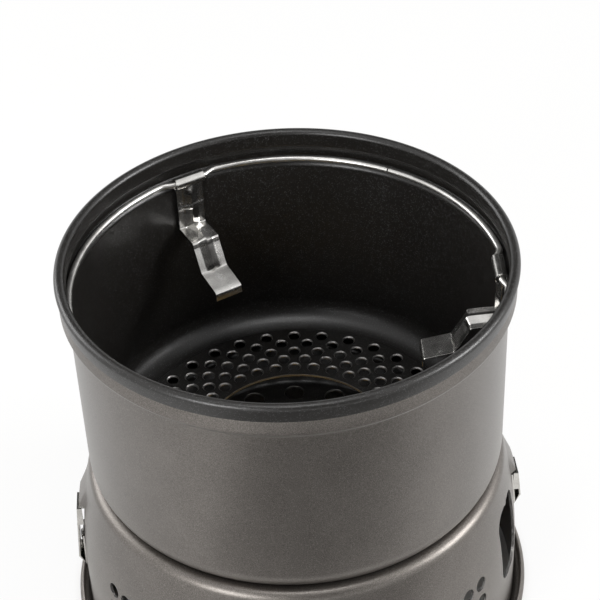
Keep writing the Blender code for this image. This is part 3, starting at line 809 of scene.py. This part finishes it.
def boolCut(piece, tool):
    cut = piece.modifiers.new("cut", "BOOLEAN")
    cut.operation = "DIFFERENCE"
    cut.solver = "EXACT"
    cut.material_mode = "TRANSFER"
    cut.object = tool
    makePlain(piece)
    bpy.data.objects.remove(tool, do_unlink=True)


def extrudeOutline(name, outline, low, high, matrix, material):
    # A prism from a closed outline in local XY, from low to high along local Z, placed by a matrix
    build = bmesh.new()
    verts = [build.verts.new((x * mm, y * mm, low * mm)) for x, y in outline]
    face = build.faces.new(verts)
    grown = bmesh.ops.extrude_face_region(build, geom=[face])
    moved = [v for v in grown["geom"] if isinstance(v, bmesh.types.BMVert)]
    bmesh.ops.translate(build, verts=moved, vec=(0, 0, (high - low) * mm))
    bmesh.ops.transform(build, matrix=matrix, verts=build.verts)
    bmesh.ops.recalc_face_normals(build, faces=build.faces)
    mesh = bpy.data.meshes.new(name)
    build.to_mesh(mesh)
    build.free()
    mesh.materials.append(material)
    return addPiece(name, mesh)


def cutSideHole(shell, s):
    # An upright hole with round corners, and two small nibs left where its tab was held
    half, rise, corner = s["width"] / 2, s["tall"] / 2, s["corner"]
    outline = []
    for quarter, (ySide, zSide) in enumerate(((1, 1), (-1, 1), (-1, -1), (1, -1))):
        centre = (ySide * (half - corner), zSide * (rise - corner))
        outline += arc(centre, corner, 90 * quarter, 90 * quarter + 90, 6)
    closed = outline + outline[:1]
    fine = []
    for a, b in zip(closed, closed[1:]):
        count = max(1, math.ceil(math.dist(a, b) / 0.35))
        fine += [tuple(Vector(a).lerp(Vector(b), i / count)) for i in range(count)]
    nibs = (((0, rise), (0, -1)), ((half, corner - rise), (-1, 0)))
    shaped = []
    for point in fine:
        for nib, inward in nibs:
            share = max(0, 1 - math.dist(point, nib) / s["nibReach"])
            point = tuple(Vector(point) + Vector(inward) * s["nib"] * share**0.5)
        shaped.append(point)
    outward = Matrix(((0, 0, 1), (1, 0, 0), (0, 1, 0))).to_4x4()
    raised = Matrix.Translation((0, 0, s["height"] * mm)) @ outward
    turn = Matrix.Rotation(math.radians(s["angle"]), 4, "Z") @ raised
    boolCut(shell, extrudeOutline("sideHoleTool", shaped, *s["cut"], turn, edgeFinish))


def pressLouvre(shell, s, angle):
    # Pushes a hood out of the wall, widest at its lower lip; openLouvre opens the slot under the lip
    a = math.radians(angle)
    out = Vector((math.cos(a), math.sin(a)))
    across = Vector((-out.y, out.x))
    for vertex in shell.data.vertices:
        co = vertex.co / mm
        if not s["base"] - 0.01 <= co.z <= s["top"]:
            continue
        flat = Vector((co.x, co.y))
        if flat.dot(out) < 70:
            continue
        side = (s["width"] / 2 + s["slope"] - abs(flat.dot(across))) / s["slope"]
        drop = (s["top"] - co.z) / (s["top"] - s["base"])
        push = s["standoff"] * max(0, min(1, side)) * drop**1.2
        if push > 0:
            vertex.co += Vector((out.x, out.y, 0)) * push * mm


def openLouvre(shell, s, angle, wallRadius):
    half = s["width"] / 2
    inner, outer = wallRadius - 3, wallRadius + 4
    outline = [(inner, -half), (outer, -half), (outer, half), (inner, half)]
    turn = Matrix.Rotation(math.radians(angle), 4, "Z")
    boolCut(shell, extrudeOutline("slotTool", outline, s["base"] - s["slot"], s["base"], turn, edgeFinish))


def makeLowerShell(s):
    crest, wallTop = crestOf(s)
    dish = roundCorners(
        [
            (s["seatHole"] + 0.12, s["seat"], 0),
            (s["dishRadius"], s["seat"], 2.5),
            (s["dishRim"], s["plate"], 2.5),
            (s["nestRadius"], s["plate"], 0),
        ]
    )
    nest = arc((s["nestRadius"], s["nestHeight"]), s["nestReach"], -90, -s["nestAngle"], 5)
    top = arc(crest, s["crestRadius"], 180 - s["nestAngle"], s["wallLean"], 8)
    heights = np.linspace(wallTop[1], louvre["top"], 5)[1:].tolist()
    heights += np.linspace(louvre["top"], louvre["base"], 10)[1:].tolist()
    heights += [louvre["base"] - 0.05]
    heights += np.linspace(louvre["base"] - 0.05, s["bellyHeight"], 14)[1:].tolist()
    wall = [(lowerWallRadius(s, z), z) for z in heights]
    curlHeight = s["curlRadius"] + s["sheet"]
    curl = arc((s["wallRadius"] + s["curlRadius"], curlHeight), s["curlRadius"], 180, 180 + s["curlTurn"], 8)
    path = dish[:-1] + nest + top[1:] + wall + curl
    section = []
    for point, side in sheetSection(path, s["sheet"]):
        coatAndShade = "inside" if point[0] < s["blackTo"] else "outside"  # black dish and nest: real coat on their undersides, painted shade on their tops, which lie in the dark under the upper shell; grey wall
        section.append((point, "edge" if side == "edge" else coatAndShade))
    shell = turnSection("lowerShell", section, sheetSides, steps=240)
    for angle in louvre["angles"]:
        pressLouvre(shell, louvre, angle)
    seatCut = {"Top": s["seat"] * mm, "Depth": 5 * mm, "Cut Finish": edgeFinish}
    runTree(shell, holeRings, {**dishHoles, **seatCut})
    runTree(shell, holeGrid, {**wallVents, "Cut Finish": edgeFinish})
    cutSideHole(shell, sideHole)
    slotRadius = lowerWallRadius(s, louvre["base"])
    for angle in louvre["angles"]:
        openLouvre(shell, louvre, angle, slotRadius)
    keepTurnedShading(shell, section)
    return finishPiece(shell, "lower_windshield", "windshields", "lower_windshield")


makeLowerShell(lowerShell)


# Wire ring

hinges = [joint for joint in frame["joints"] if joint["type"] == "hinge"]
pivots = [Vector(joint["pos_m"]) for joint in hinges]
wireRing = {
    "wire": 1.2,
    "radius": 77.6,
    "neckHalf": 6.5,
    "shoulder": 4.6,
    "jointAngle": 58.7,
    "jointGap": 0.5,
    "stops": 360,
}


def makeWireRing(s):
    pivotRadius = pivots[0].to_2d().length / mm
    height = pivots[0].z
    gap = s["jointGap"] / s["radius"] / 2
    start = math.radians(s["jointAngle"]) + gap
    span = 2 * math.pi - 2 * gap
    count = s["stops"]
    points = []
    for i in range(count + 1):
        angle = start + span * i / count
        radius = s["radius"]
        for pivot in pivots:
            offset = (angle - math.atan2(pivot.y, pivot.x) + math.pi) % (2 * math.pi) - math.pi
            away = abs(offset) * pivotRadius
            straight = pivotRadius / math.cos(offset) if abs(offset) < 1 else radius
            if away < s["neckHalf"]:
                radius = straight
            elif away < s["neckHalf"] + s["shoulder"]:
                t = (away - s["neckHalf"]) / s["shoulder"]
                t = t * t * (3 - 2 * t)
                radius = straight * (1 - t) + s["radius"] * t
        points.append((radius * math.cos(angle) * mm, radius * math.sin(angle) * mm, height, 1))
    curve = bpy.data.curves.new("wireRing", "CURVE")
    curve.dimensions = "3D"
    curve.bevel_depth = s["wire"] * mm
    curve.bevel_resolution = 4
    curve.use_fill_caps = True
    spline = curve.splines.new("POLY")
    spline.points.add(count)
    for point, place in zip(spline.points, points):
        point.co = place
    source = addPiece("wireSource", curve)
    bpy.context.view_layer.update()
    mesh = bpy.data.meshes.new_from_object(source.evaluated_get(bpy.context.evaluated_depsgraph_get()))
    bpy.data.objects.remove(source, do_unlink=True)
    build = bmesh.new()
    build.from_mesh(mesh)
    cleanMesh(build, mesh)
    mesh.shade_smooth()
    mesh.set_sharp_from_angle(angle=math.radians(40))
    mesh.materials.clear()
    mesh.materials.append(steelFinishWire)
    return finishPiece(addPiece("wireRing", mesh), "upper_windshield", "steel", "support_ring")


makeWireRing(wireRing)


# Pot supports

support = {
    "sheet": 0.8,
    "width": 11.4,
    "eyeWidth": 12.2,
    "eye": 1.9,
    "eyeTurn": (245, -30),
    "offset": 0.63,
    "drop": 21.7,
    "kinkDrop": 12.0,
    "kink": 0.35,
    "ledge": (10.8, 0.8),
    "heel": (0.6, 1.8),
    "ramp": (5.0, 9.0),
    "kettleLedge": (11.5, 2.4),
    "lip": 3.2,
    "bend": 1.1,
    "ribHeight": 1.2,
    "ribHalf": 3.0,
    "softEdge": 0.15,
}


def supportPath(s):
    # Middle line of the strip as (outwards, up) from the wire, starting where it is rolled round the wire
    eye = arc((0, 0), s["eye"], *s["eyeTurn"], 12)
    down = math.radians(s["eyeTurn"][1])
    last = Vector(eye[-1])
    heading = Vector((math.sin(down), -math.cos(down)))
    run = (s["offset"] - last.x) / heading.x
    turnPoint = last + heading * run
    stops = [
        (*last, 0),
        (*turnPoint, 1.0),
        (s["offset"], -s["kinkDrop"] + 1.0, 1.0),
        (s["offset"] - s["kink"], -s["kinkDrop"], 1.0),
        (s["offset"], -s["kinkDrop"] - 1.0, 1.0),
        (s["offset"], -s["drop"], s["bend"]),
    ]
    for name, fillet in (("ledge", 0.6), ("heel", 0.6), ("ramp", s["bend"]), ("kettleLedge", s["bend"])):
        x, y, _ = stops[-1]
        reach, fall = s[name]
        stops.append((x - reach, y - fall, fillet))
    x, y, _ = stops[-1]
    stops.append((x, y - s["lip"], 0))
    return eye[:-1] + roundCorners(stops, 15)


def makeSupport(name, pivot, s):
    path = supportPath(s)
    fine = [path[0]]
    for a, b in zip(path, path[1:]):
        count = max(1, math.ceil(math.dist(a, b) / 1.5))
        fine += [tuple(Vector(a).lerp(Vector(b), (i + 1) / count)) for i in range(count)]
    half, soft = s["width"] / 2, s["softEdge"]
    columns = [-half, -half + soft]
    columns += np.linspace(-half + soft, -s["ribHalf"], 4)[1:].tolist()
    columns += np.linspace(-s["ribHalf"], s["ribHalf"], 11)[1:].tolist()
    columns += np.linspace(s["ribHalf"], half - soft, 4)[1:].tolist() + [half]
    points = np.array(fine)
    before = np.roll(points, 1, 0)
    after = np.roll(points, -1, 0)
    before[0], after[-1] = points[0], points[-1]
    along = after - before
    along /= np.linalg.norm(along, axis=1)[:, None]
    inward = np.stack([along[:, 1], -along[:, 0]], 1)
    travelled = np.concatenate([[0], np.cumsum(np.linalg.norm(np.diff(points, axis=0), axis=1))])
    isStrip = points[:, 1] < -2.5
    ribStart = travelled[np.argmax(isStrip)] + 1.0
    rampFoot = s["offset"] - s["ledge"][0] - s["heel"][0] - s["ramp"][0]
    rampEnd = travelled[np.argmin(np.abs(points[:, 0] - rampFoot))]
    fade = np.clip((travelled - ribStart) / 1.5, 0, 1) * np.clip((rampEnd - travelled) / 1.0, 0, 1)
    shoulder = np.clip((travelled - ribStart + 1.0) / 1.2, 0, 1)
    spread = 1 + (s["eyeWidth"] / s["width"] - 1) * (1 - shoulder**2)
    build = bmesh.new()
    sheets = []
    for side in (1, -1):
        rows = []
        for i, (x, z) in enumerate(points):
            row = []
            for j, y in enumerate(columns):
                thin = s["sheet"] / 2 if j not in (0, len(columns) - 1) else s["sheet"] / 2 - soft
                ridge = max(0, 1 - abs(y) / s["ribHalf"])
                ridge = ridge * s["ribHeight"] * fade[i]
                at = Vector((x, z)) + Vector(inward[i]) * (side * thin + ridge)
                row.append(build.verts.new((at.x * mm, y * spread[i] * mm, at.y * mm)))
            rows.append(row)
        sheets.append(rows)
    inner, outer = sheets
    for rows in sheets:
        for a, b in zip(rows, rows[1:]):
            for j in range(len(columns) - 1):
                build.faces.new((a[j], a[j + 1], b[j + 1], b[j]))
    for i in range(len(points) - 1):
        for j in (0, len(columns) - 1):
            build.faces.new((inner[i][j], inner[i + 1][j], outer[i + 1][j], outer[i][j]))
    for i in (0, len(points) - 1):
        for j in range(len(columns) - 1):
            build.faces.new((inner[i][j], inner[i][j + 1], outer[i][j + 1], outer[i][j]))
    bmesh.ops.recalc_face_normals(build, faces=build.faces)
    angle = math.atan2(pivot.y, pivot.x)
    place = Matrix.Translation(pivot) @ Matrix.Rotation(angle, 4, "Z")
    bmesh.ops.transform(build, matrix=place, verts=build.verts)
    mesh = bpy.data.meshes.new(name)
    build.to_mesh(mesh)
    build.free()
    mesh.shade_smooth()
    mesh.set_sharp_from_angle(angle=math.radians(30))
    mesh.materials.append(steelFinishBent)
    return addPiece(name, mesh)


for hinge, pivot in zip(hinges, pivots):
    body = hinge["child"]
    makeName = "bentSupport" + body[-1]
    finishPiece(makeSupport(makeName, pivot, support), body, "steel", body)


# Clips and rivets keep their solids and get their finish here

for name, node in frame["nodes"].items():
    if name.startswith(("strap_clip", "clip_rivet")):
        node.data.materials.clear()
        node.data.materials.append(steelFinishBent)
        node.data.shade_smooth()
        node.data.set_sharp_from_angle(angle=math.radians(30))


# Burner

burner = {
    "sheet": 0.7,
    "bodyRadius": 30.4,
    "flangeRadius": 34.2,
    "flangeBase": 58.0,
    "flange": 2.0,
    "depth": 42.0,
    "corner": 6.0,
    "collarRadius": 24.9,
    "collar": 3.1,
    "gap": 0.3,
    "wick": 38.0,
    "wickWaves": 16,
    "wickWave": 0.15,
    "capSheet": 0.8,
    "capHeight": 5.2,
    "seal": 0.9,
    "knurls": 72,
    "knurl": 0.15,
}
jets = {
    "Rings": 1,
    "Per Ring": 24,
    "First Radius": 29.2 * mm,
    "Start Angle": 0.0,
    "Hole Radius": 0.8 * mm,
    "Chamfer": 0.1 * mm,
    "Sides": 12,
}
brassSides = {"outside": brassFinish, "inside": brassFinish, "edge": brassFinish}


def solidSection(corners, side="outside"):
    return [(p, side) for p in corners]


def makeBurner(s):
    top = s["flangeBase"] + s["flange"]
    base = top - s["depth"]
    collarTop = top + s["collar"]
    path = roundCorners(
        [
            (s["collarRadius"], collarTop, 0),
            (s["collarRadius"], top, 0.3),
            (s["flangeRadius"], top, 0.8),
            (s["flangeRadius"], s["flangeBase"], 0.75),
            (s["bodyRadius"], s["flangeBase"], 0.4),
            (s["bodyRadius"], base, s["corner"]),
            (0.0, base, 0),
        ],
        15,
    )
    inner = offsetPath(path, s["sheet"])
    inner[-1] = (0.0, inner[-1][1])
    body = turnSection("burnerCup", solidSection(path + inner[::-1]), brassSides, steps=96)
    runTree(body, holeRings, {**jets, "Top": top * mm, "Depth": 3 * mm, "Cut Finish": brassFinish})
    finishPiece(body, "burner", "burner", "burner_body")

    linerRadius = s["collarRadius"] - s["sheet"] - s["gap"]
    floor = base + s["sheet"] + s["gap"]
    liner = [
        (linerRadius, collarTop - 0.2),
        (linerRadius, floor),
        (linerRadius - s["sheet"], floor),
        (linerRadius - s["sheet"], collarTop - 0.2),
        (linerRadius - s["sheet"] / 2, collarTop),
    ]
    wall = turnSection("burnerLiner", solidSection(liner), brassSides, 96)
    finishPiece(wall, "burner", "burner", "burner_inner_wall")

    wickOuter = s["bodyRadius"] - s["sheet"] - s["gap"]
    wickInner = linerRadius + s["gap"]
    wickBase = base + s["corner"]
    wickTop = base + s["wick"]
    waves = []
    for i in range(s["wickWaves"] + 1):
        height = wickTop + (wickBase - wickTop) * i / s["wickWaves"]
        waves.append((wickOuter - s["wickWave"] * (i % 2), height))
    inside = [(wickInner, wickBase), (wickInner, wickTop - 0.3)]
    wick = [((wickOuter + wickInner) / 2, wickTop), *waves, *inside]
    feltPiece = turnSection("feltWick", solidSection(wick), {"outside": feltFinish}, 96)
    finishPiece(feltPiece, "burner", "wick", "burner_wick")


def makeCap(s):
    top = s["flangeBase"] + s["flange"]
    sealRadius = s["seal"]
    sealHeight = top + s["collar"] + s["gap"] + sealRadius
    sheet = s["capSheet"]
    capTop = sealHeight + sealRadius + s["gap"] + sheet
    skirt = s["collarRadius"] + s["gap"] + sheet
    path = roundCorners([(0.0, capTop, 0), (skirt, capTop, 1.0), (skirt, capTop - s["capHeight"], 0)], 12)
    inner = offsetPath(path, sheet)
    inner[0] = (0.0, inner[0][1])
    cap = turnSection("screwCap", solidSection(path + inner[::-1]), brassSides, steps=144)
    for vertex in cap.data.vertices:
        co = vertex.co
        radius = co.to_2d().length / mm
        if radius > skirt - 0.05 and co.z < (capTop - 1.2) * mm:
            wave = math.cos(s["knurls"] * math.atan2(co.y, co.x))
            shrink = 1 - s["knurl"] * (1 - wave) / 2 / radius
            vertex.co = (co.x * shrink, co.y * shrink, co.z)
    finishPiece(cap, "burner_cap", "burner", "burner_cap")
    ring = arc((s["collarRadius"] - sealRadius, sealHeight), sealRadius, 0, 360, 18)[:-1]
    seal = turnSection("sealRing", solidSection(ring), {"outside": rubberFinish}, 96)
    finishPiece(seal, "burner_cap", "seal", "cap_seal")


makeBurner(burner)
makeCap(burner)


# Camera, floor and light

camera = {"place": (4.042, -481.643, 519.13), "look": 38.28, "roll": -2.56, "lens": 102.807}


def makeCamera(s):
    lens = bpy.data.cameras.new("camera")
    lens.lens = s["lens"]
    lens.sensor_width = 36
    lens.clip_start = 0.01
    lens.clip_end = 20
    eye = addPiece("camera", lens)
    tilt = Matrix.Rotation(math.radians(90 - s["look"]), 4, "X")
    roll = Matrix.Rotation(math.radians(s["roll"]), 4, "Z")
    eye.matrix_world = Matrix.Translation(Vector(s["place"]) * mm) @ tilt @ roll
    bpy.context.scene.camera = eye


floor = {
    "size": 6.0,
    "colour": (0.86, 0.85, 0.83),
    "whiteShare": 0.88,
    "shade": (0.084, 0.094),  # from where to where the shadow gives way to white, in metres from the middle
    "mirrorShade": (0.10, 0.17),
}


def addSheet(name, size):
    # A flat square sheet, of which only one side matters
    build = bmesh.new()
    bmesh.ops.create_grid(build, x_segments=1, y_segments=1, size=size / 2)
    mesh = bpy.data.meshes.new(name)
    build.to_mesh(mesh)
    build.free()
    return addPiece(name, mesh)


def aimAt(piece, height):
    # Turns a lamp or card to face a point on the cooker's axis
    aim = Vector((0, 0, height)) - piece.location
    piece.rotation_mode = "QUATERNION"
    piece.rotation_quaternion = aim.to_track_quat("-Z", "Y")


def makeFloor(s):
    ground = addSheet("floor", s["size"])
    material = bpy.data.materials.new("palePaper")
    material.use_nodes = True
    tree = material.node_tree
    shader = tree.nodes["Principled BSDF"]
    shader.inputs["Base Color"].default_value = (*s["colour"], 1)
    shader.inputs["Roughness"].default_value = 0.8
    shader.inputs["Specular IOR Level"].default_value = 0.1
    white = addNode(tree, "ShaderNodeEmission", {"Color": (1, 1, 1, 1), "Strength": 1.0}).outputs[0]
    paths = addNode(tree, "ShaderNodeLightPath").outputs
    mirrored = calc(tree, "MAXIMUM", paths["Is Glossy Ray"], paths["Is Transmission Ray"])
    spot = addNode(tree, "ShaderNodeTexCoord").outputs["Object"]
    away = addNode(tree, "ShaderNodeVectorMath", {0: spot}, operation="LENGTH").outputs["Value"]
    shares = []
    for rays, (inner, outer) in ((paths["Is Camera Ray"], s["shade"]), (mirrored, s["mirrorShade"])):
        clear = addNode(
            tree,
            "ShaderNodeMapRange",
            {"Value": away, "From Min": inner, "From Max": outer},
            interpolation_type="SMOOTHSTEP",
        ).outputs["Result"]
        shares.append(calc(tree, "MULTIPLY", rays, clear))
    seen = calc(tree, "MULTIPLY", calc(tree, "MAXIMUM", *shares), s["whiteShare"])
    mixed = addNode(tree, "ShaderNodeMixShader", {0: seen, 1: shader.outputs[0], 2: white}).outputs[0]
    tree.links.new(mixed, tree.nodes["Material Output"].inputs["Surface"])
    ground.data.materials.append(material)


lamps = {
    "right": {"place": (0.98, -0.08, 0.63), "size": (0.42, 0.42), "watts": 9.5},
    "left": {"place": (-0.90, 0.50, 0.55), "size": (0.6, 0.6), "watts": 5.0},
    "frontLeft": {"place": (-0.60, -0.89, 0.53), "size": (0.3, 0.42), "watts": 6.5},
    "top": {"place": (0.0, -0.30, 1.35), "size": (0.42, 0.16), "watts": 2.5},
}
world = {"diffuse": 0.5, "seen": 1.0}
darkCards = {
    "lowCard": {"place": (0.08, -0.40, 0.004), "size": (0.34, 0.56), "tone": 0.2, "flat": True},
    "highCard": {"place": (0.16, -0.95, 0.80), "size": (0.95, 1.0), "tone": 0.03, "flat": False},
    "backCard": {"place": (0.0, 1.20, 1.15), "size": (2.2, 0.9), "tone": 0.03, "flat": False},
}


def makeDarkCards():
    # Black cards on the camera's side, which only metal sees, as in a studio
    for name, s in darkCards.items():
        black = bpy.data.materials.new(name)
        black.use_nodes = True
        shader = black.node_tree.nodes["Principled BSDF"]
        shader.inputs["Base Color"].default_value = (s["tone"], s["tone"], s["tone"], 1)
        shader.inputs["Roughness"].default_value = 0.9
        card = addSheet(name, 1.0)
        card.data.materials.append(black)
        card.location = s["place"]
        card.scale = (*s["size"], 1)
        if not s["flat"]:
            aimAt(card, 0.12)
        card.visible_camera = False
        card.visible_diffuse = False
        card.visible_shadow = False


def makeLights():
    for name, s in lamps.items():
        light = bpy.data.lights.new(name, "AREA")
        light.shape = "RECTANGLE"
        light.size, light.size_y = s["size"]
        light.energy = s["watts"]
        lamp = addPiece(name, light)
        lamp.location = s["place"]
        aimAt(lamp, 0.09)
    room = bpy.data.worlds.new("whiteRoom")
    bpy.context.scene.world = room
    room.use_nodes = True
    tree = room.node_tree
    paths = addNode(tree, "ShaderNodeLightPath").outputs
    mirrored = calc(tree, "MAXIMUM", paths["Is Glossy Ray"], paths["Is Transmission Ray"])
    shown = calc(tree, "MAXIMUM", paths["Is Camera Ray"], mirrored)
    extra = calc(tree, "MULTIPLY", shown, world["seen"] - world["diffuse"])
    strength = calc(tree, "ADD", extra, world["diffuse"])
    ground = tree.nodes["Background"]
    ground.inputs["Color"].default_value = (1, 1, 1, 1)
    tree.links.new(strength, ground.inputs["Strength"])


makeCamera(camera)
makeFloor(floor)
makeDarkCards()
makeLights()
bpy.context.scene.view_settings.view_transform = "Standard"
